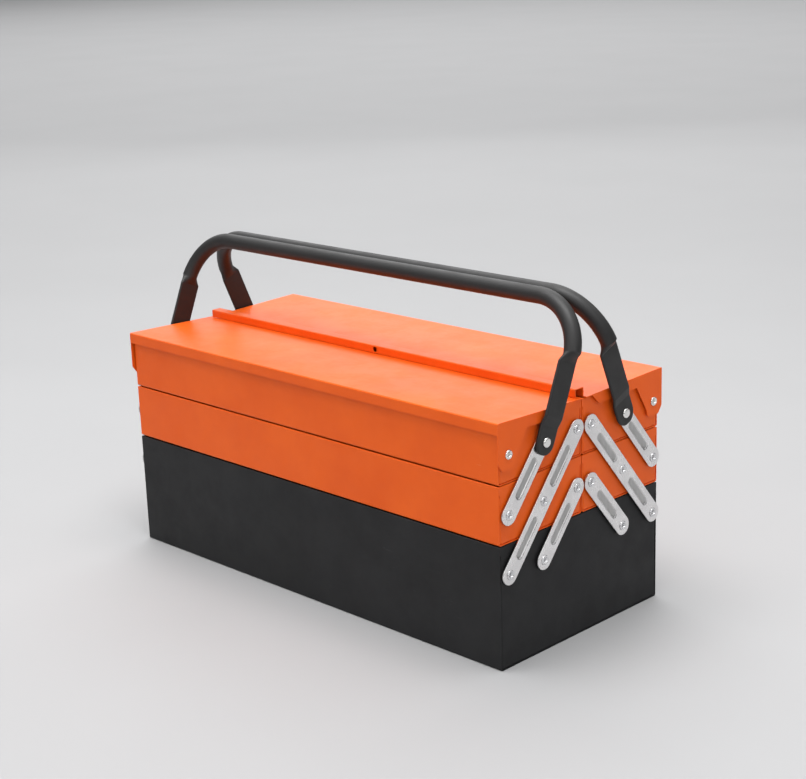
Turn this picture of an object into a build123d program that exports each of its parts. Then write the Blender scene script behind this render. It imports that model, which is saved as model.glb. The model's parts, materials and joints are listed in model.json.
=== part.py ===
from build123d import *
from math import asin, atan2, cos, degrees, hypot, radians, sin, tan
import os

# Steel cantilever tool box: a deep base, two pairs of trays that fold out to the front and the back
# on flat links, two lids and two swinging tube handles.
# Frame: X runs along the box, -Y is the front, +Z is up.
# The origin is the middle of the footprint, on the surface that the box stands on.  Millimetres.

os.makedirs("parts", exist_ok=True)

# ------------------------------------------------------------------ driving dimensions
# Body
BODY_LENGTH = 454.0        # base and trays, outside, along X
BODY_WIDTH = 200.0         # base, outside, along Y
BASE_HEIGHT = 103.6        # floor to the base's rim
TRAY_PITCH = 49.0          # one tray's floor to the next one's
UPPER_TRAY_HEIGHT = 46.5   # floor to rim of an upper tray
SEAM_GAP = 0.9             # a closed tray floats this far above the rim below it
CENTRE_GAP = 1.0           # between the front and the back trays
SHEET = 0.8                # sheet steel of base, trays and lids
BEND_RADIUS = 1.7          # outside radius of a folded corner
HEM_HEIGHT = 7.0           # folded safety edge along the rims
HEM_ROUNDING = 0.9         # radius of a hem's top, as a share of the sheet
FLANGE = 8.0               # spot-welded flanges of the end plates, length inwards
FLANGE_STOP = 2.0          # the flanges end this far below the hem
WELD_GAP = 0.02            # end plate flange to wrapper sheet
PAN_CORNER = 2.0           # rounded lower corners of an end plate

# Linkage
PIVOT_EDGE = 9.0           # outermost pivots to the outer wall
PIVOT_HEIGHT = 24.0        # tray pivots above the tray's floor
LINK_WIDTH = 16.6
LINK_THICKNESS = 1.5
LINK_EDGE = 0.35           # rounded outer edge
LINK_GAP = 1.4             # between the links of the two sides at the middle
GROOVE_WIDTH = 8.4         # pressed stiffening groove
GROOVE_DEPTH = 1.1
GROOVE_END = 13.2          # from a pivot to the groove's end
GROOVE_TAPER = 50.0        # degrees, slope of the groove's side
SPACER_THICKNESS = 1.4     # washer between a link and the box
SPACER_RADIUS = 5.0
SIDE_PLAY = 0.1            # axial play on each side of a moving piece
PIN_PLAY = 0.08            # radial running clearance on a rivet

# Rivets
LINK_RIVET_RADIUS = 2.2
LINK_RIVET_HEAD_RADIUS = 4.0
LINK_RIVET_HEAD = 0.8
LID_RIVET_RADIUS = 2.4
LID_RIVET_HEAD_RADIUS = 3.9
LID_RIVET_HEAD = 1.3
HANDLE_RIVET_RADIUS = 2.8
HANDLE_RIVET_HEAD_RADIUS = 4.2
HANDLE_RIVET_HEAD = 1.6
DOME_ROUNDING = 0.92       # radius of a domed head's edge, as a share of its height
RIVET_INNER_HEAD = 1.0     # set head inside the tray
RIVET_INNER_RADIUS = 3.8
RIVET_MOUTH = 2.6          # flared opening of a tubular rivet, radius
RIVET_FLARE = 1.1          # depth of the flare
RIVET_BORE = 1.5
RIVET_BORE_DEPTH = 2.8
ROLL_ROUNDING = 0.8        # radius of a rolled head's outer edge, as a share of its height
MOUTH_ROUNDING = 0.3

# Lids
LID_OVERHANG_Y = 2.6       # lid beyond the outer wall
LID_END_SPACE = 1.9        # end plate of a tray to the inner face of a lid's end flange
LID_CLEARANCE = 0.6        # tray rim to the underside of the lid at the middle
LID_DROP = 3.0             # a lid falls this far from its outer edge to the middle
LID_BEND_RADIUS = 1.2
LID_EDGE_GAP = 1.0         # front lid's inner edge to the middle plane
LID_FLANGE = 9.5           # turned-down edge
FLANGE_CUT = 10.0          # the end flanges begin this far from the middle plane
EAR_DEPTH = 12.3           # ear below the pivot
EAR_CORNER = 5.7           # the ear narrows from this far below the pivot
EAR_TOP = 22.4             # inner end of the ear's slanted edge, from the pivot
EAR_WAIST = 8.9            # ear's slanted edge at its low end, from the pivot
EAR_FOOT = 7.0             # half width of the ear's foot
EAR_FILLET = 3.0
CHANNEL_WIDTH = 10.5       # raised closing strip on the back lid
CHANNEL_OVERLAP = 6.5      # strip in front of the middle plane
CHANNEL_RISE = 7.5         # strip above the lid
CHANNEL_GAP = 0.4          # strip's front wall above the front lid
CHANNEL_INSET = 3.8        # strip's end from the lid's end
PADLOCK_HOLE_RADIUS = 2.4

# Handles
TUBE_DIAMETER = 14.0
HANDLE_REACH = 111.6       # pivot to the grip's axis
HANDLE_BEND = 46.0         # bend radius of the tube's axis
HANDLE_TAPER = 9.0         # degrees, the round tube leans in above its flattened arm
HANDLE_GAP = 0.6           # between the two grips at rest
TUBE_SPACE = 2.4           # box end to the inner side of the round tube
CRANK_OFFSET = 2.2         # inner face of the arm beyond the inner face of the pivot disc
DISC_PLAY = 0.2            # links to the pivot disc
ARM_THICKNESS = 2.6
ARM_WIDTH = 21.4
ARM_EDGE = 1.1             # rounded edges of the flattened tube
DISC_EDGE = 0.5
FLAT_LENGTH = 64.0         # pivot to the end of the flattened stretch
ROUND_START = 72.0         # pivot to where the tube is fully round
CRANK_LOW = 12.4           # crank between the pivot disc and the arm
CRANK_HIGH = 20.0

CUT = 1.0                  # a cutting shape stands this far out of what it cuts

# ------------------------------------------------------------------ worked-out places
HALF_LENGTH = BODY_LENGTH / 2
HALF_WIDTH = BODY_WIDTH / 2
TRAY_INNER_Y = CENTRE_GAP / 2

LOWER_FLOOR = BASE_HEIGHT + SEAM_GAP
LOWER_RIM = LOWER_FLOOR + TRAY_PITCH - SEAM_GAP
UPPER_FLOOR = LOWER_FLOOR + TRAY_PITCH
UPPER_RIM = UPPER_FLOOR + UPPER_TRAY_HEIGHT

PIVOT_INNER = (LINK_WIDTH + LINK_GAP) / 2
PIVOT_STEP = (HALF_WIDTH - PIVOT_INNER - PIVOT_EDGE) / 2
PIVOT_MIDDLE = PIVOT_INNER + PIVOT_STEP
PIVOT_OUTER = PIVOT_MIDDLE + PIVOT_STEP
LOWER_PIVOT_Z = LOWER_FLOOR + PIVOT_HEIGHT
UPPER_PIVOT_Z = UPPER_FLOOR + PIVOT_HEIGHT
BASE_PIVOT_Z = LOWER_PIVOT_Z - TRAY_PITCH

LID_INNER_Z = UPPER_RIM + LID_CLEARANCE + SHEET
LID_OUTER_Y = HALF_WIDTH + LID_OVERHANG_Y
LID_OUTER_Z = LID_INNER_Z + LID_DROP
LID_END_X = HALF_LENGTH + LID_END_SPACE + SHEET

LINK_INNER_X = SPACER_THICKNESS + SIDE_PLAY
LINK_OUTER_X = LINK_INNER_X + LINK_THICKNESS
DISC_SPACE = LINK_OUTER_X + DISC_PLAY
ARM_SPACE = DISC_SPACE + CRANK_OFFSET

TUBE_RADIUS = TUBE_DIAMETER / 2
GRIP_Y = HANDLE_GAP / 2 + TUBE_RADIUS
HANDLE_LEAN = degrees(asin((PIVOT_MIDDLE - GRIP_Y) / HANDLE_REACH))
TUBE_X = HALF_LENGTH + TUBE_SPACE + TUBE_RADIUS

SIDES = (("front", -1), ("back", 1))
ENDS = (("left", -1), ("right", 1))


# ------------------------------------------------------------------ helpers
def write(node, shape):
    """One node, one file."""
    export_step(shape, f"parts/{node}.step")


def block(x0, x1, y0, y1, z0, z1):
    """A box between two corners."""
    centre = Pos((x0 + x1) / 2, (y0 + y1) / 2, (z0 + z1) / 2)
    return centre * Box(abs(x1 - x0), abs(y1 - y0), abs(z1 - z0))


def placed(shape, end=1, side=1):
    """Mirror a shape made for the right end and the back side to another end or side."""
    if end < 0:
        shape = mirror(shape, about=Plane.YZ)
    if side < 0:
        shape = mirror(shape, about=Plane.XZ)
    return shape


def across(points, x0, x1, rounded=(), radius=0.0):
    """Extrude an outline given in Y and Z along X; the listed corners are rounded."""
    face = make_face(Polyline(*[(y, z) for y, z in points], close=True))
    for y, z in rounded:
        corner = face.vertices().sort_by_distance((y, z, 0))[0]
        face = fillet(corner, radius)
    return Pos(x0, 0, 0) * (Plane.YZ * extrude(face, x1 - x0))


def cylinder_x(radius, x0, x1, y=0.0, z=0.0):
    """A round bar along X."""
    return Pos((x0 + x1) / 2, y, z) * Rot(0, 90, 0) * Cylinder(radius, abs(x1 - x0))


# ------------------------------------------------------------------ folded sheet boxes
def wrapper(y0, y1, floor, rim):
    """Front wall, floor and back wall of a box, folded from one sheet, with hemmed rims."""
    outer = block(-HALF_LENGTH, HALF_LENGTH, y0, y1, floor, rim)
    outer = fillet(outer.edges().filter_by(Axis.X).group_by(Axis.Z)[0], BEND_RADIUS)
    inner = block(-HALF_LENGTH - CUT, HALF_LENGTH + CUT, y0 + SHEET, y1 - SHEET, floor + SHEET, rim + CUT)
    inner = fillet(inner.edges().filter_by(Axis.X).group_by(Axis.Z)[0], BEND_RADIUS - SHEET)
    shell = outer - inner
    for wall, inward in ((y0, 1), (y1, -1)):
        hem = block(-HALF_LENGTH, HALF_LENGTH, wall, wall + 2 * SHEET * inward, rim - HEM_HEIGHT, rim)
        hem = fillet(hem.edges().filter_by(Axis.X).group_by(Axis.Z)[-1], SHEET * HEM_ROUNDING)
        cleared = block(-HALF_LENGTH, HALF_LENGTH, wall, wall + SHEET * inward, rim - HEM_HEIGHT, rim)
        shell = shell - cleared + hem
    return shell


def end_plate(y0, y1, floor, rim, holes):
    """Right end of a box: a plate with flanges along its sides and floor and a hemmed rim."""
    low = floor + SHEET + WELD_GAP
    left = y0 + SHEET + WELD_GAP
    right = y1 - SHEET - WELD_GAP
    top = rim - HEM_HEIGHT - FLANGE_STOP
    pan = block(HALF_LENGTH - FLANGE, HALF_LENGTH, left, right, low, top)
    pan = fillet(pan.edges().filter_by(Axis.X).group_by(Axis.Z)[0], PAN_CORNER)
    folds = pan.edges().group_by(Axis.X)[-1].filter_by(lambda edge: edge.center().Z < top - WELD_GAP)
    pan = fillet(folds, BEND_RADIUS)
    pan -= block(HALF_LENGTH - FLANGE - CUT, HALF_LENGTH - SHEET, left + SHEET, right - SHEET,
                 low + SHEET, top + CUT)
    upper_left = y0 + 2 * SHEET + WELD_GAP
    upper_right = y1 - 2 * SHEET - WELD_GAP
    pan += block(HALF_LENGTH - SHEET, HALF_LENGTH, upper_left, upper_right, top - SHEET, rim - SHEET)
    hem = block(HALF_LENGTH - 2 * SHEET, HALF_LENGTH, upper_left, upper_right, rim - HEM_HEIGHT, rim)
    hem = fillet(hem.edges().filter_by(Axis.Y).group_by(Axis.Z)[-1], SHEET * HEM_ROUNDING)
    pan += hem
    for y, z, radius in holes:
        pan -= cylinder_x(radius, HALF_LENGTH - SHEET - CUT, HALF_LENGTH + CUT, y, z)
    return pan


# ------------------------------------------------------------------ rivets and spacers
def turned(profile, y, z):
    """Turn an outline given as distance from the box end and radius about a pivot's axis."""
    face = make_face(Polyline(*profile, close=True))
    return Pos(HALF_LENGTH, y, z) * revolve(face, Axis.X)


def tubular_rivet(y, z, radius, head_at, head_radius, head_height):
    """Rivet with a rolled, hollow outer end; the set head is inside the box."""
    back = -SHEET - RIVET_INNER_HEAD
    top = head_at + head_height
    profile = [(back, 0), (back, RIVET_INNER_RADIUS), (-SHEET, RIVET_INNER_RADIUS), (-SHEET, radius),
               (head_at, radius), (head_at, head_radius), (top, head_radius), (top, RIVET_MOUTH),
               (top - RIVET_FLARE, RIVET_BORE), (top - RIVET_BORE_DEPTH, RIVET_BORE),
               (top - RIVET_BORE_DEPTH, 0)]
    rivet = turned(profile, y, z)
    rolled = rivet.edges().group_by(Axis.X)[-1].sort_by(SortBy.RADIUS)[-1]
    rivet = fillet(rolled, head_height * ROLL_ROUNDING)
    mouth = rivet.edges().group_by(Axis.X)[-1].sort_by(SortBy.RADIUS)[0]
    return fillet(mouth, MOUTH_ROUNDING)


def domed_rivet(y, z, radius, head_at, head_radius, head_height):
    """Rivet with a domed outer head."""
    back = -SHEET - RIVET_INNER_HEAD
    top = head_at + head_height
    profile = [(back, 0), (back, RIVET_INNER_RADIUS), (-SHEET, RIVET_INNER_RADIUS), (-SHEET, radius),
               (head_at, radius), (head_at, head_radius), (top, head_radius), (top, 0)]
    rivet = turned(profile, y, z)
    rim = rivet.edges().group_by(Axis.X)[-1]
    return fillet(rim, head_height * DOME_ROUNDING)


def spacer(y, z, bore, thickness):
    """Washer on a rivet, against the box end."""
    ring = cylinder_x(SPACER_RADIUS, HALF_LENGTH, HALF_LENGTH + thickness, y, z)
    return ring - cylinder_x(bore, HALF_LENGTH - CUT, HALF_LENGTH + thickness + CUT, y, z)


def link_rivet(y, z):
    head_at = LINK_OUTER_X + SIDE_PLAY
    return tubular_rivet(y, z, LINK_RIVET_RADIUS, head_at, LINK_RIVET_HEAD_RADIUS, LINK_RIVET_HEAD)


def lid_rivet(y, z):
    head_at = LID_END_SPACE + SHEET + SIDE_PLAY
    return tubular_rivet(y, z, LID_RIVET_RADIUS, head_at, LID_RIVET_HEAD_RADIUS, LID_RIVET_HEAD)


def handle_rivet(y, z):
    head_at = DISC_SPACE + ARM_THICKNESS + SIDE_PLAY
    return domed_rivet(y, z, HANDLE_RIVET_RADIUS, head_at, HANDLE_RIVET_HEAD_RADIUS, HANDLE_RIVET_HEAD)


def at_both_ends(shapes, side=1):
    """The same pieces at the right and the left end, as one group of solids."""
    group = [placed(shape, end, side) for _, end in ENDS for shape in shapes]
    return Compound(children=group)


# ------------------------------------------------------------------ links
def link(start, points):
    """Flat bar with round ends over a row of pivots given as (y, z, rivet radius)."""
    pitch = hypot(PIVOT_STEP, TRAY_PITCH)
    length = pitch * (len(points) - 1)
    bar = extrude(SlotCenterToCenter(length, LINK_WIDTH), LINK_THICKNESS)
    bar = fillet(bar.edges().group_by(Axis.Z)[-1], LINK_EDGE)
    along = [pitch * i - length / 2 for i in range(len(points))]
    groove_length = pitch - 2 * GROOVE_END
    for a, b in zip(along, along[1:]):
        oblong = Pos((a + b) / 2, 0, 0) * SlotOverall(groove_length, GROOVE_WIDTH)
        boss = extrude(oblong, -GROOVE_DEPTH, taper=GROOVE_TAPER)
        recess = Pos(0, 0, LINK_THICKNESS) * extrude(oblong, -GROOVE_DEPTH, taper=GROOVE_TAPER)
        bar = bar + boss - recess
    for a, (_, _, rivet_radius) in zip(along, points):
        bar -= Pos(a, 0, 0) * Cylinder(rivet_radius + PIN_PLAY, 2 * (LINK_THICKNESS + CUT))
    rise = degrees(atan2(points[-1][1] - points[0][1], points[-1][0] - points[0][0]))
    middle_y = (points[0][0] + points[-1][0]) / 2
    middle_z = (points[0][1] + points[-1][1]) / 2
    face = Plane(origin=(HALF_LENGTH + start, middle_y, middle_z), x_dir=(0, cos(radians(rise)),
                 sin(radians(rise))), z_dir=(1, 0, 0))
    return face * bar


# ------------------------------------------------------------------ lids
def lid_top(y):
    """Height of a lid's upper face at a distance from the middle plane."""
    return LID_INNER_Z + LID_DROP * y / LID_OUTER_Y


def lid(inner_y):
    """Back lid without its closing strip: sloping panel, turned-down edges and two hinge ears."""
    flange_low = LID_OUTER_Z - LID_FLANGE
    inside_y = LID_OUTER_Y - SHEET
    panel = [(inner_y, lid_top(inner_y)), (LID_OUTER_Y, LID_OUTER_Z), (LID_OUTER_Y, flange_low),
             (inside_y, flange_low), (inside_y, lid_top(inside_y) - SHEET),
             (inner_y, lid_top(inner_y) - SHEET)]
    shell = across(panel, -LID_END_X, LID_END_X)

    ear_top_y = PIVOT_OUTER - EAR_TOP
    waist = (PIVOT_OUTER - EAR_WAIST, UPPER_PIVOT_Z - EAR_CORNER)
    foot_in = (PIVOT_OUTER - EAR_FOOT, UPPER_PIVOT_Z - EAR_DEPTH)
    foot_out = (PIVOT_OUTER + EAR_FOOT, UPPER_PIVOT_Z - EAR_DEPTH)
    corner = (LID_OUTER_Y, UPPER_PIVOT_Z - EAR_CORNER)
    cut_low_y = FLANGE_CUT + LID_FLANGE
    outline = [(FLANGE_CUT, lid_top(FLANGE_CUT)), (LID_OUTER_Y, LID_OUTER_Z), corner, foot_out, foot_in,
               waist, (ear_top_y, lid_top(ear_top_y) - LID_FLANGE),
               (cut_low_y, lid_top(cut_low_y) - LID_FLANGE)]
    ear = across(outline, LID_END_X - SHEET, LID_END_X, (corner, foot_out, foot_in, waist), EAR_FILLET)
    ear -= cylinder_x(LID_RIVET_RADIUS + PIN_PLAY, LID_END_X - SHEET - CUT, LID_END_X + CUT,
                      PIVOT_OUTER, UPPER_PIVOT_Z)
    shell = shell + ear + placed(ear, end=-1)

    ridge = shell.edges().filter_by(Axis.X).sort_by_distance((0, LID_OUTER_Y, LID_OUTER_Z))[0]
    return fillet(ridge, LID_BEND_RADIUS)


def channel():
    """Closing strip along the back lid: an inverted U that covers the front lid's inner edge."""
    front = -CHANNEL_OVERLAP
    back = front + CHANNEL_WIDTH
    top = LID_INNER_Z + CHANNEL_RISE
    front_low = lid_top(CHANNEL_OVERLAP) + CHANNEL_GAP
    back_low = lid_top(back) - SHEET
    outline = [(front, front_low), (front, top), (back, top), (back, back_low), (back - SHEET, back_low),
               (back - SHEET, top - SHEET), (front + SHEET, top - SHEET), (front + SHEET, front_low)]
    reach = LID_END_X - CHANNEL_INSET
    strip = across(outline, -reach, reach, ((front, top), (back, top)), LID_BEND_RADIUS)
    hole_z = (top + front_low) / 2
    hole = Pos(0, front, hole_z) * Rot(90, 0, 0) * Cylinder(PADLOCK_HOLE_RADIUS, 2 * (SHEET + CUT))
    return strip - hole


# ------------------------------------------------------------------ handles
def arm():
    """Right arm of a handle, upright over the pivot: flattened tube, cranked, with a pivot disc."""
    disc_x = HALF_LENGTH + DISC_SPACE + ARM_THICKNESS / 2
    flat_x = HALF_LENGTH + ARM_SPACE + ARM_THICKNESS / 2
    flat = RectangleRounded(ARM_THICKNESS, ARM_WIDTH, ARM_EDGE)
    sections = [Pos(disc_x, 0, 0) * flat, Pos(disc_x, 0, CRANK_LOW) * flat,
                Pos(flat_x, 0, CRANK_HIGH) * flat, Pos(flat_x, 0, FLAT_LENGTH) * flat,
                Pos(TUBE_X, 0, ROUND_START) * Rot(0, -HANDLE_TAPER, 0) * Circle(TUBE_RADIUS)]
    body = loft(sections[:-1], ruled=True) + loft(sections[-2:], ruled=True)
    disc = cylinder_x(ARM_WIDTH / 2, disc_x - ARM_THICKNESS / 2, disc_x + ARM_THICKNESS / 2)
    disc = fillet(disc.edges(), DISC_EDGE)
    hole = cylinder_x(HANDLE_RIVET_RADIUS + PIN_PLAY, HALF_LENGTH, disc_x + ARM_THICKNESS)
    return body + disc - hole


def handle():
    """Back handle: one bent tube with two flattened arms, leaning in over the box."""
    corner_x = TUBE_X - (HANDLE_REACH - ROUND_START) * tan(radians(HANDLE_TAPER))
    path = FilletPolyline((TUBE_X, 0, ROUND_START), (corner_x, 0, HANDLE_REACH),
                          (-corner_x, 0, HANDLE_REACH), (-TUBE_X, 0, ROUND_START), radius=HANDLE_BEND)
    tube = sweep(Plane(origin=path @ 0, z_dir=path % 0) * Circle(TUBE_RADIUS), path)
    upright = tube + arm() + placed(arm(), end=-1)
    return Pos(0, PIVOT_MIDDLE, UPPER_PIVOT_Z) * Rot(HANDLE_LEAN, 0, 0) * upright


# ------------------------------------------------------------------ base
base_pivots = [(side * y, BASE_PIVOT_Z) for _, side in SIDES for y in (PIVOT_MIDDLE, PIVOT_OUTER)]
base_holes = [(y, z, LINK_RIVET_RADIUS) for y, z in base_pivots]
base_end = end_plate(-HALF_WIDTH, HALF_WIDTH, 0, BASE_HEIGHT, base_holes)
write("base_wrapper", wrapper(-HALF_WIDTH, HALF_WIDTH, 0, BASE_HEIGHT))
for end_name, end in ENDS:
    write(f"base_end_{end_name}", placed(base_end, end))
write("base_rivets", at_both_ends([link_rivet(y, z) for y, z in base_pivots]))
write("base_spacers", at_both_ends([spacer(y, z, LINK_RIVET_RADIUS, SPACER_THICKNESS)
                                    for y, z in base_pivots]))

# ------------------------------------------------------------------ trays
lower_pivots = [(y, LOWER_PIVOT_Z) for y in (PIVOT_INNER, PIVOT_MIDDLE, PIVOT_OUTER)]
lower_holes = [(y, z, LINK_RIVET_RADIUS) for y, z in lower_pivots]
lower_wrapper = wrapper(TRAY_INNER_Y, HALF_WIDTH, LOWER_FLOOR, LOWER_RIM)
lower_end = end_plate(TRAY_INNER_Y, HALF_WIDTH, LOWER_FLOOR, LOWER_RIM, lower_holes)

upper_holes = [(PIVOT_INNER, UPPER_PIVOT_Z, LINK_RIVET_RADIUS),
               (PIVOT_MIDDLE, UPPER_PIVOT_Z, HANDLE_RIVET_RADIUS),
               (PIVOT_OUTER, UPPER_PIVOT_Z, LID_RIVET_RADIUS)]
upper_wrapper = wrapper(TRAY_INNER_Y, HALF_WIDTH, UPPER_FLOOR, UPPER_RIM)
upper_end = end_plate(TRAY_INNER_Y, HALF_WIDTH, UPPER_FLOOR, UPPER_RIM, upper_holes)

for side_name, side in SIDES:
    write(f"lower_tray_{side_name}_wrapper", placed(lower_wrapper, side=side))
    write(f"upper_tray_{side_name}_wrapper", placed(upper_wrapper, side=side))
    for end_name, end in ENDS:
        write(f"lower_tray_{side_name}_end_{end_name}", placed(lower_end, end, side))
        write(f"upper_tray_{side_name}_end_{end_name}", placed(upper_end, end, side))
    write(f"lower_tray_{side_name}_rivets",
          at_both_ends([link_rivet(y, z) for y, z in lower_pivots], side))
    write(f"lower_tray_{side_name}_spacers",
          at_both_ends([spacer(y, z, LINK_RIVET_RADIUS, SPACER_THICKNESS) for y, z in lower_pivots], side))
    write(f"upper_tray_{side_name}_link_rivets",
          at_both_ends([link_rivet(PIVOT_INNER, UPPER_PIVOT_Z)], side))
    write(f"upper_tray_{side_name}_handle_rivets",
          at_both_ends([handle_rivet(PIVOT_MIDDLE, UPPER_PIVOT_Z)], side))
    write(f"upper_tray_{side_name}_lid_rivets",
          at_both_ends([lid_rivet(PIVOT_OUTER, UPPER_PIVOT_Z)], side))
    write(f"upper_tray_{side_name}_spacers",
          at_both_ends([spacer(PIVOT_INNER, UPPER_PIVOT_Z, LINK_RIVET_RADIUS, SPACER_THICKNESS),
                        spacer(PIVOT_MIDDLE, UPPER_PIVOT_Z, HANDLE_RIVET_RADIUS, SPACER_THICKNESS),
                        spacer(PIVOT_OUTER, UPPER_PIVOT_Z, LID_RIVET_RADIUS, LID_END_SPACE - SIDE_PLAY)],
                       side))

# ------------------------------------------------------------------ links
long_link = link(LINK_INNER_X, [(PIVOT_OUTER, BASE_PIVOT_Z, LINK_RIVET_RADIUS),
                                (PIVOT_MIDDLE, LOWER_PIVOT_Z, LINK_RIVET_RADIUS),
                                (PIVOT_INNER, UPPER_PIVOT_Z, LINK_RIVET_RADIUS)])
lower_link = link(LINK_INNER_X, [(PIVOT_MIDDLE, BASE_PIVOT_Z, LINK_RIVET_RADIUS),
                                 (PIVOT_INNER, LOWER_PIVOT_Z, LINK_RIVET_RADIUS)])
upper_link = link(LINK_INNER_X, [(PIVOT_OUTER, LOWER_PIVOT_Z, LINK_RIVET_RADIUS),
                                 (PIVOT_MIDDLE, UPPER_PIVOT_Z, HANDLE_RIVET_RADIUS)])
for side_name, side in SIDES:
    for end_name, end in ENDS:
        write(f"long_link_{side_name}_{end_name}", placed(long_link, end, side))
        write(f"lower_link_{side_name}_{end_name}", placed(lower_link, end, side))
        write(f"upper_link_{side_name}_{end_name}", placed(upper_link, end, side))

# ------------------------------------------------------------------ lids and handles
write("lid_front", placed(lid(LID_EDGE_GAP), side=-1))
write("lid_back", lid(CHANNEL_WIDTH - CHANNEL_OVERLAP - SHEET) + channel())
back_handle = handle()
for side_name, side in SIDES:
    write(f"handle_{side_name}", placed(back_handle, side=side))
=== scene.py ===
import json
from math import cos, hypot, pi, radians, sin, sqrt, tan

import bmesh
import bpy
from mathutils import Matrix, Vector


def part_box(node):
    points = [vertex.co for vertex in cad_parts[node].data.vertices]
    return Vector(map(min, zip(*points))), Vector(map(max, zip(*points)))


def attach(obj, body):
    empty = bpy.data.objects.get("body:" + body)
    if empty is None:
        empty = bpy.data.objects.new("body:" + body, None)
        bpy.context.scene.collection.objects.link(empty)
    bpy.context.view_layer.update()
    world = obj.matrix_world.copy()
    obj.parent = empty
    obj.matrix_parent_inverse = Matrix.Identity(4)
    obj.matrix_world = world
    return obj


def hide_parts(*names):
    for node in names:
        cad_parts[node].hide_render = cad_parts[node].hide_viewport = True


# Looks of the steel cantilever tool box, in metres: powder-coated sheet, pressed zinc links
# and bent tube handles.

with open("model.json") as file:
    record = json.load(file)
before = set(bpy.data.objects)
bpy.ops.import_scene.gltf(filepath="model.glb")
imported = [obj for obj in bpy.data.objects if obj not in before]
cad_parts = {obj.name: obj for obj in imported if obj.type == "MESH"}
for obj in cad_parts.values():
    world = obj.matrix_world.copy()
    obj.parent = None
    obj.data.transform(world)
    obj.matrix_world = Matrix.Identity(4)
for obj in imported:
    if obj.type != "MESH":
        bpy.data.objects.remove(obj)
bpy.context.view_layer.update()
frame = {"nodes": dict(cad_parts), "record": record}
MM = 0.001

# ------------------------------------------------------------------ sizes of the rebuilt pieces
LINK_HALF_WIDTH = 8.3 * MM
LINK_THICKNESS = 1.5 * MM
LINK_EDGE = 0.4 * MM            # rounding of a link's long edges
GROOVE_END = 13.2 * MM          # from a rivet to the groove's end
GROOVE_HALF_WIDTH = 4.2 * MM
GROOVE_FLOOR = 1.9 * MM         # half width of the groove's flat floor
GROOVE_DEPTH = 1.1 * MM
GROOVE_SHADE_DEEP = 228.9 * MM   # out along X: zinc darkened by painted shade from here inward
GROOVE_SHADE_HIGH = 229.8 * MM   # and zinc without painted shade from here outward
# dark zinc colour painted into the pressed grooves as shade
GROOVE_SHADE_COLOUR = (0.20, 0.20, 0.19, 1)
RIVET_PLAY = 0.08 * MM
DRILL_SEGMENTS = 40
DRILL_LENGTH = 20 * MM          # longer than any piece is thick
LINK_RIVET = 2.2 * MM
HANDLE_RIVET = 2.8 * MM

TUBE_RADIUS = 7.0 * MM
TUBE_BEND = 46.0 * MM           # bend radius of the tube's axis
TUBE_TAPER = radians(9.0)       # the round tube leans in above its flattened arm
ARM_HALF_THICKNESS = 1.3 * MM
ARM_HALF_WIDTH = 10.7 * MM
DISC_SPACE = 3.2 * MM           # box end to the pivot disc
TUBE_SPACE = 2.4 * MM           # box end to the inner side of the round tube
CRANK_OFFSET = 2.2 * MM         # the arm stands this far out from the pivot disc
CRANK_LOW = 12.4 * MM
CRANK_HIGH = 20.0 * MM
FLAT_END = 64.0 * MM            # the flattened stretch ends this far from the pivot
ROUND_START = 72.0 * MM

RIM_BEVEL = 0.22 * MM           # sheared and folded edges of the sheet pieces
HEAD_BEVEL = 0.12 * MM          # edges of rivets and washers
BEVEL_ANGLE = radians(50)       # only edges sharper than this are rounded
WELD_REACH = 1e-6               # joins the corners that a CAD mesh doubles
SAME_POINT = 1e-7               # joins the corners that a drilled hole doubles
LINK_FOLD = radians(38)         # edges of a link sharper than this stay crisp
HANDLE_FOLD = radians(30)       # and those of a handle
ARM_FOLD = 0.5 * MM             # rounding of the folds along a handle's flattened arm

# ------------------------------------------------------------------ stage sizes
FLOOR_REACH = 30.0
LIGHTS_AIM = (0, 0, 0.12)
FAR_LIGHT_OUT = 5.0             # from the middle to the lights over the far floor
FAR_LIGHT_HEIGHT = 4.5
FAR_LIGHT_SIZE = (9.0, 9.0)

# ------------------------------------------------------------------ camera
CAMERA_PLACE = (1.03358, -0.99719, 0.57764)
CAMERA_HEADING = radians(-45.270)      # from +Y towards +X
CAMERA_PITCH = radians(-15.976)
CAMERA_ROLL = radians(-1.938)
CAMERA_LENS = 75.05
SENSOR_WIDTH = 36.0

joints = {joint["name"]: joint for joint in frame["record"]["behaviour"]["joints"]}


def pivot(joint_name):
    """A joint's place as Y and Z; every axis runs along X."""
    return Vector(joints[joint_name]["pos_m"]).yz


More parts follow.
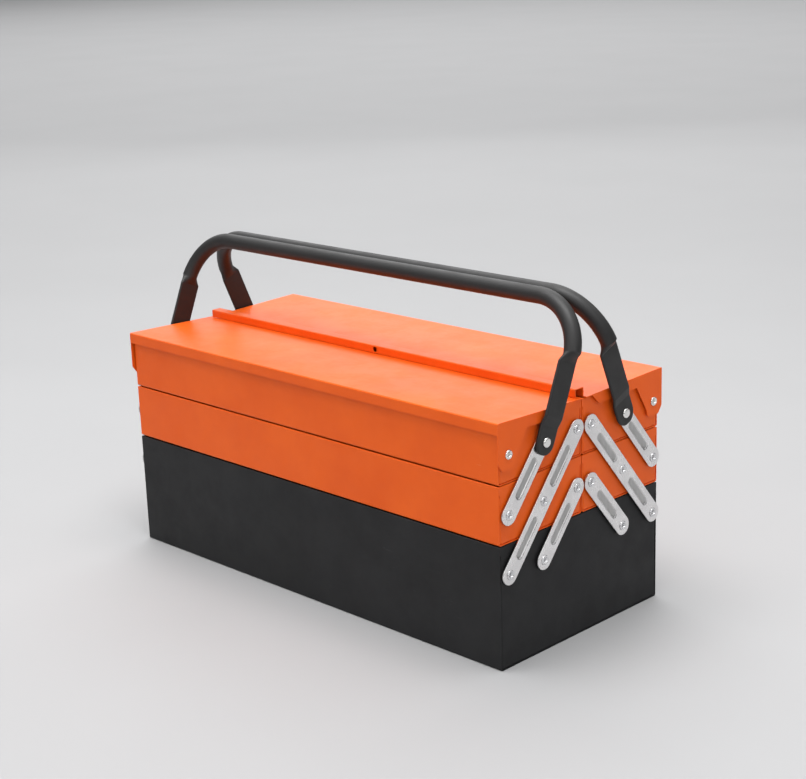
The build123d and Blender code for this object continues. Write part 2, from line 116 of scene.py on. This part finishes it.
# ------------------------------------------------------------------ material helpers
class Shader:
    """A principled material with short calls for the nodes that it is built from."""

    def __init__(self, name):
        self.material = bpy.data.materials.new(name)
        self.material.use_nodes = True
        self.tree = self.material.node_tree
        self.bsdf = self.tree.nodes["Principled BSDF"]
        self.place = self.tree.nodes.new("ShaderNodeTexCoord").outputs["Object"]

    def node(self, kind, inputs=None, **settings):
        made = self.tree.nodes.new(kind)
        for key, value in settings.items():
            setattr(made, key, value)
        for key, value in (inputs or {}).items():
            if isinstance(value, bpy.types.NodeSocket):
                self.tree.links.new(value, made.inputs[key])
            else:
                made.inputs[key].default_value = value
        return made

    def stretched(self, scale):
        """Object coordinates scaled along each axis."""
        return self.node("ShaderNodeMapping", {"Vector": self.place, "Scale": scale}).outputs["Vector"]

    def noise(self, scale, detail=2.0, roughness=0.5, vector=None):
        inputs = {"Vector": vector or self.place, "Scale": scale, "Detail": detail,
                  "Roughness": roughness}
        return self.node("ShaderNodeTexNoise", inputs).outputs["Fac"]

    def remap(self, value, low, high, to_low, to_high):
        inputs = {"Value": value, "From Min": low, "From Max": high, "To Min": to_low, "To Max": to_high}
        return self.node("ShaderNodeMapRange", inputs).outputs["Result"]

    def maths(self, operation, a, b):
        return self.node("ShaderNodeMath", {0: a, 1: b}, operation=operation).outputs["Value"]

    def mix(self, factor, a, b):
        made = self.node("ShaderNodeMix", data_type="RGBA")
        for key, value in (("Factor", factor), ("A", a), ("B", b)):
            socket = next(s for s in made.inputs if s.name == key and s.enabled)
            if isinstance(value, bpy.types.NodeSocket):
                self.tree.links.new(value, socket)
            else:
                socket.default_value = value
        return next(s for s in made.outputs if s.enabled)

    def bump(self, height, strength, distance, normal=None):
        inputs = {"Height": height, "Strength": strength, "Distance": distance}
        if normal is not None:
            inputs["Normal"] = normal
        return self.node("ShaderNodeBump", inputs).outputs["Normal"]

    def set(self, **values):
        """Principled sockets: a number or a colour is set, a socket is linked."""
        for key, value in values.items():
            socket = self.bsdf.inputs[key.replace("_", " ")]
            if isinstance(value, bpy.types.NodeSocket):
                self.tree.links.new(value, socket)
            else:
                socket.default_value = value


def powder_coat(name, dark, light, worn, roughness, peel, peel_scale, specular, sheen=(1, 1, 1, 1)):
    """Powder coat: cloudy tone, orange-peel skin, a fine grain, handled patches, faint scratches."""
    s = Shader(name)
    cloud = s.remap(s.noise(14.0, 4.0, 0.6), 0.35, 0.68, 0.0, 1.0)
    colour = s.mix(cloud, dark, light)
    scratch = s.noise(120.0, 2.0, 0.5, s.stretched((0.16, 1.0, 1.0)))
    off_line = s.maths("ABSOLUTE", s.maths("SUBTRACT", scratch, 0.5), 0.0)
    scratch = s.remap(off_line, 0.0, 0.0016, 1.0, 0.0)
    patch = s.remap(s.noise(9.0, 3.0, 0.5), 0.56, 0.66, 0.0, 0.30)
    colour = s.mix(s.maths("MULTIPLY", scratch, patch), colour, worn)
    grain = s.noise(2600.0, 2.0, 0.6)
    skin = s.noise(peel_scale, 2.0, 0.45)
    handled = s.remap(s.noise(38.0, 5.0, 0.65), 0.38, 0.66, *roughness)
    normal = s.bump(skin, peel, 0.12 * MM)
    normal = s.bump(grain, peel * 0.5, 0.03 * MM, normal)
    s.set(Base_Color=colour, Roughness=handled, Normal=normal, Specular_IOR_Level=specular,
          Specular_Tint=sheen)
    return s.material


def zinc(name, dark, light, roughness, groove_shade_strength=0.0):
    """Satin zinc plate: cloudy tone, rolling streaks, and darker, rougher zinc in pressed grooves, the
    darkening being painted shade.
    """
    s = Shader(name)
    cloud = s.noise(90.0, 3.0, 0.5)
    colour = s.mix(s.remap(cloud, 0.3, 0.7, 0.0, 1.0), dark, light)
    out = s.node("ShaderNodeSeparateXYZ", {"Vector": s.place}).outputs["X"]
    out = s.maths("ABSOLUTE", out, 0.0)
    # mask of painted shade in the pressed grooves, strongest at the groove floor; it also roughens the
    # zinc there
    shaded_groove_mask = s.remap(out, GROOVE_SHADE_DEEP, GROOVE_SHADE_HIGH, groove_shade_strength, 0.0)
    streak = s.noise(500.0, 2.0, 0.5, s.stretched((1.0, 1.0, 0.12)))
    painted_groove_shade = s.maths("MULTIPLY", shaded_groove_mask, s.remap(streak, 0.35, 0.65, 0.88, 1.0))
    # mix the painted groove shade into the zinc colour
    colour = s.mix(painted_groove_shade, colour, GROOVE_SHADE_COLOUR)
    uneven = s.maths("ADD", cloud, s.maths("MULTIPLY", streak, 0.5))
    rough = s.maths("ADD", s.remap(uneven, 0.5, 1.0, *roughness), s.maths("MULTIPLY", shaded_groove_mask, 0.12))
    normal = s.bump(streak, 0.02, 0.01 * MM)
    s.set(Base_Color=colour, Metallic=1.0, Roughness=rough, Normal=normal)
    return s.material


def make_materials():
    """One material for each of the record's slots."""
    return {
        "orange_paint": powder_coat(
            "orange_powder_coat", dark=(0.80, 0.103, 0.008, 1), light=(0.87, 0.124, 0.010, 1),
            worn=(0.93, 0.36, 0.17, 1), roughness=(0.36, 0.46), peel=0.10, peel_scale=950.0,
            specular=0.30, sheen=(1.0, 0.78, 0.55, 1)),
        "black_body_paint": powder_coat(
            "black_body_coat", dark=(0.0125, 0.0125, 0.013, 1), light=(0.017, 0.017, 0.018, 1),
            worn=(0.075, 0.075, 0.078, 1), roughness=(0.50, 0.62), peel=0.16, peel_scale=1300.0,
            specular=0.25),
        "black_handle_paint": powder_coat(
            "black_handle_coat", dark=(0.009, 0.009, 0.009, 1), light=(0.013, 0.012, 0.012, 1),
            worn=(0.07, 0.07, 0.068, 1), roughness=(0.46, 0.58), peel=0.16, peel_scale=1500.0,
            specular=0.50),
        # the links' grooves get painted shade
        "zinc_link": zinc("zinc_plate", dark=(0.74, 0.73, 0.73, 1), light=(0.86, 0.85, 0.85, 1),
                          roughness=(0.22, 0.30), groove_shade_strength=0.62),
        "rivet_steel": zinc("zinc_rivet", dark=(0.66, 0.66, 0.67, 1), light=(0.80, 0.80, 0.81, 1),
                            roughness=(0.18, 0.28)),
        "bright_rivet": zinc("nickel_rivet", dark=(0.76, 0.75, 0.73, 1), light=(0.90, 0.89, 0.87, 1),
                             roughness=(0.14, 0.24))}


# ------------------------------------------------------------------ mesh helpers
def finish_mesh(name, bm, sharp_angle):
    """Turn a bmesh into an object, smooth except at folds sharper than an angle."""
    bmesh.ops.recalc_face_normals(bm, faces=bm.faces)
    for face in bm.faces:
        face.smooth = True
    for edge in bm.edges:
        edge.smooth = edge.calc_face_angle(0.0) < sharp_angle
    mesh = bpy.data.meshes.new(name)
    bm.to_mesh(mesh)
    bm.free()
    piece = bpy.data.objects.new(name, mesh)
    bpy.context.scene.collection.objects.link(piece)
    return piece


def loft(rings):
    """Quads between equally long rings of points, closed by a cap at each end."""
    bm = bmesh.new()
    rows = [[bm.verts.new(point) for point in ring] for ring in rings]
    count = len(rows[0])
    for low, high in zip(rows, rows[1:]):
        for i in range(count):
            j = (i + 1) % count
            bm.faces.new((low[i], low[j], high[j], high[i]))
    bm.faces.new(reversed(rows[0]))
    bm.faces.new(rows[-1])
    return bm


def drill(piece, places, radius, sharp_angle):
    """Cut round holes along X through a piece at places given as X, Y and Z."""
    drills = bmesh.new()
    for place in places:
        matrix = Matrix.Translation(place) @ Matrix.Rotation(pi / 2, 4, "Y")
        bmesh.ops.create_cone(drills, cap_ends=True, segments=DRILL_SEGMENTS,
                              radius1=radius, radius2=radius, depth=DRILL_LENGTH, matrix=matrix)
    cutter = finish_mesh("drills", drills, sharp_angle)
    boolean = piece.modifiers.new("holes", "BOOLEAN")
    boolean.operation = "DIFFERENCE"
    boolean.solver = "EXACT"
    boolean.object = cutter
    bpy.context.view_layer.update()
    evaluated = piece.evaluated_get(bpy.context.evaluated_depsgraph_get())
    bm = bmesh.new()
    bm.from_mesh(evaluated.to_mesh())
    bmesh.ops.remove_doubles(bm, verts=bm.verts, dist=SAME_POINT)
    name = piece.name
    old = [piece, cutter]
    for obj in old:
        obj.name = obj.name + "_uncut"
    drilled = finish_mesh(name, bm, sharp_angle)
    for obj in old:
        bpy.data.objects.remove(obj)
    return drilled


# ------------------------------------------------------------------ pressed links
def groove_depth(u, v, grooves):
    """Depth of the pressed grooves at a place on a link, given the grooves' axis ends along u."""
    deepest = 0.0
    for start, end in grooves:
        away = hypot(max(start - u, u - end, 0.0), v)
        slope = (GROOVE_HALF_WIDTH - away) / (GROOVE_HALF_WIDTH - GROOVE_FLOOR)
        slope = min(max(slope, 0.0), 1.0)
        deepest = max(deepest, GROOVE_DEPTH * slope * slope * (3 - 2 * slope))
    return deepest


def link_stations(length, grooves):
    """Places along a link where its section is drawn, closer together where the shape turns."""
    half = LINK_HALF_WIDTH
    caps = [half * (1 - cos(pi / 2 * i / 12)) for i in range(1, 12)]
    stations = {round(-half + cap, 7) for cap in caps} | {round(length + half - cap, 7) for cap in caps}
    stations |= {0.0, round(length, 7)}
    for start, end in grooves:
        reach = GROOVE_HALF_WIDTH
        stations |= {round(start - reach + reach * i / 9, 7) for i in range(10)}
        stations |= {round(end + reach * i / 9, 7) for i in range(10)}
        stations |= {round(start + (end - start) * i / 6, 7) for i in range(1, 6)}
    return sorted(stations)


def link_section(u, length, grooves):
    """Closed outline of a link across its length: v across it and w out from the box."""
    over = max(-u, u - length, 0.0)
    half = sqrt(max(LINK_HALF_WIDTH ** 2 - over ** 2, 0.0))
    tip = min(half, LINK_EDGE)
    across = [half - tip - (half - tip) * 2 * i / 36 for i in range(37)]
    outer = [(v, LINK_THICKNESS - groove_depth(u, v, grooves)) for v in across]
    inner = [(v, -groove_depth(u, v, grooves)) for v in reversed(across)]
    corner = [(sin(pi / 2 * i / 4), cos(pi / 2 * i / 4)) for i in range(1, 5)]
    left = [(-(half - tip) - tip * a, LINK_THICKNESS - LINK_EDGE * (1 - b)) for a, b in corner]
    right = [(-v, w) for v, w in reversed(left)]
    return outer + left + inner + right


def make_link(name, pivots, end, holes):
    """A pressed link over a row of pivots, at one end of the box."""
    start, finish = pivots[0], pivots[-1]
    along = (finish - start).normalized()
    side_on = Vector((-along.y, along.x))
    length = (finish - start).length
    pitch = length / (len(pivots) - 1)
    inset = GROOVE_END + GROOVE_HALF_WIDTH
    grooves = [(pitch * i + inset, pitch * (i + 1) - inset) for i in range(len(pivots) - 1)]
    outer_x = max(abs(corner.x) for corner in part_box(name))
    rings = []
    for u in link_stations(length, grooves):
        ring = []
        for v, w in link_section(u, length, grooves):
            flat = start + along * u + side_on * v
            ring.append((end * (outer_x - LINK_THICKNESS + w), flat.x, flat.y))
        rings.append(ring)
    piece = finish_mesh(name + "_pressed", loft(rings), LINK_FOLD)
    for place, radius in zip(pivots, holes):
        piece = drill(piece, [(end * outer_x, place.x, place.y)], radius + RIVET_PLAY, LINK_FOLD)
    return piece


def make_links():
    for side in ("front", "back"):
        base_outer, base_middle = pivot(f"cantilever_{side}"), pivot(f"lower_link_pivot_{side}")
        lower_outer, lower_middle = pivot(f"upper_link_pivot_{side}"), pivot(f"lower_tray_pivot_{side}")
        upper_inner, upper_middle = pivot(f"upper_tray_pivot_{side}"), pivot(f"handle_pivot_{side}")
        lower_inner = base_middle + lower_middle - base_outer
        rows = {"long_link": (base_outer, lower_middle, upper_inner),
                "lower_link": (base_middle, lower_inner),
                "upper_link": (lower_outer, upper_middle)}
        for kind, row in rows.items():
            holes = [LINK_RIVET] * len(row)
            if kind == "upper_link":
                holes[-1] = HANDLE_RIVET
            for end_name, end in (("left", -1), ("right", 1)):
                node = f"{kind}_{side}_{end_name}"
                piece = make_link(node, row, end, holes)
                wear(piece, node, f"{kind}s_{side}")


# ------------------------------------------------------------------ tube handles
def flat_section(steps, half_thick, half_wide):
    """Points round a flattened tube, evenly spaced, from the middle of its outer face."""
    edge = min(half_thick, half_wide)
    straight = half_wide - edge
    lap = 4 * straight + 2 * pi * edge
    points = []
    for i in range(steps):
        run = lap * i / steps
        mirrored = run > lap / 2
        if mirrored:
            run = lap - run
        if run < straight:
            point = (half_thick, run)
        elif run < straight + pi * edge:
            turn = (run - straight) / edge
            point = (half_thick * cos(turn), straight + edge * sin(turn))
        else:
            point = (-half_thick, straight - (run - straight - pi * edge))
        points.append((point[0], -point[1]) if mirrored else point)
    return points


def round_section(steps, radius):
    return [(radius * cos(2 * pi * i / steps), radius * sin(2 * pi * i / steps)) for i in range(steps)]


def handle_stations(box_end, disc_x, reach):
    """Half of a handle, from the pivot disc's foot to the middle of the grip.

    Each station is its place out along X and up from the pivot, its direction and its section."""
    steps = 72
    stations = []

    def flat(x, height, half_wide=ARM_HALF_WIDTH, half_thick=ARM_HALF_THICKNESS):
        stations.append(((x, height), (0.0, 1.0), flat_section(steps, half_thick, half_wide)))

    for depth in (0.04, 0.15, 0.35, 0.65, 1.0, 1.3, 2.0, 3.2, 4.8, 6.6, 8.6):
        depth = depth * MM
        half_wide = sqrt(ARM_HALF_WIDTH ** 2 - (ARM_HALF_WIDTH - depth) ** 2)
        rim = 1 - min(depth / ARM_HALF_THICKNESS, 1.0)
        flat(disc_x, depth - ARM_HALF_WIDTH, half_wide, ARM_HALF_THICKNESS * sqrt(1 - rim ** 2))
    arm_x = disc_x + CRANK_OFFSET
    fold = ARM_FOLD
    slope = CRANK_OFFSET / (CRANK_HIGH - CRANK_LOW)
    flat(disc_x, 0.0)
    flat(disc_x, CRANK_LOW - fold)
    flat(disc_x + slope * fold * 0.3, CRANK_LOW)
    flat(disc_x + slope * fold, CRANK_LOW + fold)
    flat(arm_x - slope * fold, CRANK_HIGH - fold)
    flat(arm_x - slope * fold * 0.3, CRANK_HIGH)
    flat(arm_x, CRANK_HIGH + fold)
    flat(arm_x, FLAT_END - fold)

    tube_x = box_end + TUBE_SPACE + TUBE_RADIUS
    pressed = flat_section(steps, ARM_HALF_THICKNESS, ARM_HALF_WIDTH)
    rounded = round_section(steps, TUBE_RADIUS)
    for share in (0.0, 0.06, 0.25, 0.5, 0.75, 0.92, 1.0):
        section = [(a + (c - a) * share, b + (d - b) * share) for (a, b), (c, d) in zip(pressed, rounded)]
        lean = TUBE_TAPER * share
        place = (arm_x + (tube_x - arm_x) * share, FLAT_END + (ROUND_START - FLAT_END) * share)
        stations.append((place, (-sin(lean), cos(lean)), section))

    turn = pi / 2 - TUBE_TAPER
    corner_x = tube_x - (reach - ROUND_START) * tan(TUBE_TAPER)
    centre_x = corner_x - TUBE_BEND * tan(turn / 2)
    centre_height = reach - TUBE_BEND
    for i in range(37):
        angle = TUBE_TAPER + turn * i / 36
        place = (centre_x + TUBE_BEND * cos(angle), centre_height + TUBE_BEND * sin(angle))
        stations.append((place, (-sin(angle), cos(angle)), rounded))
    for share in (0.75, 0.5, 0.25, 0.0):
        stations.append(((centre_x * share, reach), (-1.0, 0.0), rounded))
    return stations


def make_handle(side, sign):
    """One bent tube with flattened arms, leaning in over the box."""
    node = f"handle_{side}"
    low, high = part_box(node)
    box_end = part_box("base_wrapper")[1].x
    place = pivot(f"handle_pivot_{side}")
    grip_z = high.z - TUBE_RADIUS
    grip_y = min(abs(low.y), abs(high.y)) + TUBE_RADIUS
    lean_y, lean_z = grip_y - abs(place.x), grip_z - place.y
    reach = hypot(lean_y, lean_z)
    up = Vector((0.0, sign * lean_y / reach, lean_z / reach))
    wide = Vector((0.0, sign * lean_z / reach, -lean_y / reach))
    out = Vector((1.0, 0.0, 0.0))
    foot = Vector((0.0, place.x, place.y))
    disc_x = box_end + DISC_SPACE + ARM_HALF_THICKNESS
    rings = []
    for (x, height), (dx, dh), section in handle_stations(box_end, disc_x, reach):
        centre = foot + out * x + up * height
        normal = out * dh - up * dx
        rings.append([centre + normal * a + wide * b for a, b in section])
    mirrored = [[Vector((-point.x, point.y, point.z)) for point in ring] for ring in reversed(rings[:-1])]
    piece = finish_mesh(node + "_tube", loft(rings + mirrored), HANDLE_FOLD)
    holes = [(end * disc_x, place.x, place.y) for end in (-1, 1)]
    piece = drill(piece, holes, HANDLE_RIVET + RIVET_PLAY, HANDLE_FOLD)
    wear(piece, node, node)


# ------------------------------------------------------------------ dressing
materials = make_materials()
slot_of = {part["node"]: part["material_slot"] for part in frame["record"]["subparts"]}


def wear(piece, node, body):
    """Put a rebuilt piece in a CAD node's place, with the node's material and body."""
    piece.data.materials.append(materials[slot_of[node]])
    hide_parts(node)
    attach(piece, body)


def dress_node(node):
    """Give a CAD node its material and a fine rounding on its sheared edges."""
    obj = frame["nodes"][node]
    obj.data.materials.clear()
    obj.data.materials.append(materials[slot_of[node]])
    weld = obj.modifiers.new("weld", "WELD")
    weld.merge_threshold = WELD_REACH
    turned_part = "rivets" in node or "spacers" in node
    bevel = obj.modifiers.new("edge_rounding", "BEVEL")
    bevel.width = HEAD_BEVEL if turned_part else RIM_BEVEL
    bevel.segments = 2
    bevel.limit_method = "ANGLE"
    bevel.angle_limit = BEVEL_ANGLE


make_links()
for side_name, side_sign in (("front", -1), ("back", 1)):
    make_handle(side_name, side_sign)
for node_name in frame["nodes"]:
    if not node_name.startswith(("long_link", "lower_link", "upper_link", "handle_")):
        dress_node(node_name)


# ------------------------------------------------------------------ stage
def make_floor():
    mesh = bpy.data.meshes.new("studio_floor")
    reach = FLOOR_REACH
    corners = [(-reach, -reach, 0), (reach, -reach, 0), (reach, reach, 0), (-reach, reach, 0)]
    mesh.from_pydata(corners, [], [(0, 1, 2, 3)])
    floor = bpy.data.objects.new("studio_floor", mesh)
    bpy.context.scene.collection.objects.link(floor)
    s = Shader("floor_paint")
    tone = s.mix(s.noise(3.0, 3.0), (0.38, 0.38, 0.385, 1), (0.41, 0.41, 0.415, 1))
    s.set(Base_Color=tone, Roughness=0.75, Normal=s.bump(s.noise(220.0, 4.0), 0.05, 0.2 * MM))
    mesh.materials.append(s.material)


def area_light(name, place, target, size, power):
    light = bpy.data.lights.new(name, "AREA")
    light.shape = "RECTANGLE"
    light.size, light.size_y = size
    light.energy = power
    obj = bpy.data.objects.new(name, light)
    obj.location = place
    obj.rotation_euler = (Vector(target) - Vector(place)).to_track_quat("-Z", "Y").to_euler()
    bpy.context.scene.collection.objects.link(obj)


def make_lights():
    """Soft boxes round the tool box, and four wide ones that light the floor all round it."""
    area_light("overhead_light", (0.1, -0.25, 2.1), LIGHTS_AIM, size=(1.9, 1.2), power=46.0)
    area_light("backdrop_light", (-1.9, 1.9, 1.15), LIGHTS_AIM, size=(3.0, 1.4), power=7.5)
    far = FAR_LIGHT_OUT
    for corner, (x, y), power in (("back_left", (-far, far), 520.0), ("front_right", (far, -far), 190.0),
                                  ("front_left", (-far, -far), 190.0), ("back_right", (far, far), 190.0)):
        area_light(f"far_light_{corner}", (x, y, FAR_LIGHT_HEIGHT), (x, y, 0.0), FAR_LIGHT_SIZE, power)
    area_light("front_light", (0.2, -2.3, 1.1), LIGHTS_AIM, size=(2.4, 1.2), power=8.0)
    area_light("end_light", (2.3, -0.7, 1.0), LIGHTS_AIM, size=(1.2, 1.0), power=7.0)
    world = bpy.data.worlds.new("studio_world")
    world.use_nodes = True
    background = world.node_tree.nodes["Background"]
    background.inputs["Color"].default_value = (0.97, 0.98, 1.0, 1)
    background.inputs["Strength"].default_value = 0.18
    bpy.context.scene.world = world
    # the paints' colours are chosen for this plain view
    bpy.context.scene.view_settings.view_transform = "Standard"


def make_camera():
    heading, pitch = CAMERA_HEADING, CAMERA_PITCH
    look = Vector((cos(pitch) * sin(heading), cos(pitch) * cos(heading), sin(pitch)))
    right = Vector((cos(heading), -sin(heading), 0))
    up = right.cross(look)
    rolled_right = right * cos(CAMERA_ROLL) + up * sin(CAMERA_ROLL)
    rolled_up = up * cos(CAMERA_ROLL) - right * sin(CAMERA_ROLL)
    camera = bpy.data.objects.new("camera", bpy.data.cameras.new("camera"))
    turn = Matrix((rolled_right, rolled_up, -look)).transposed().to_4x4()
    camera.matrix_world = Matrix.Translation(CAMERA_PLACE) @ turn
    camera.data.sensor_fit = "HORIZONTAL"
    camera.data.sensor_width = SENSOR_WIDTH
    camera.data.lens = CAMERA_LENS
    bpy.context.scene.collection.objects.link(camera)
    bpy.context.scene.camera = camera


make_floor()
make_lights()
make_camera()
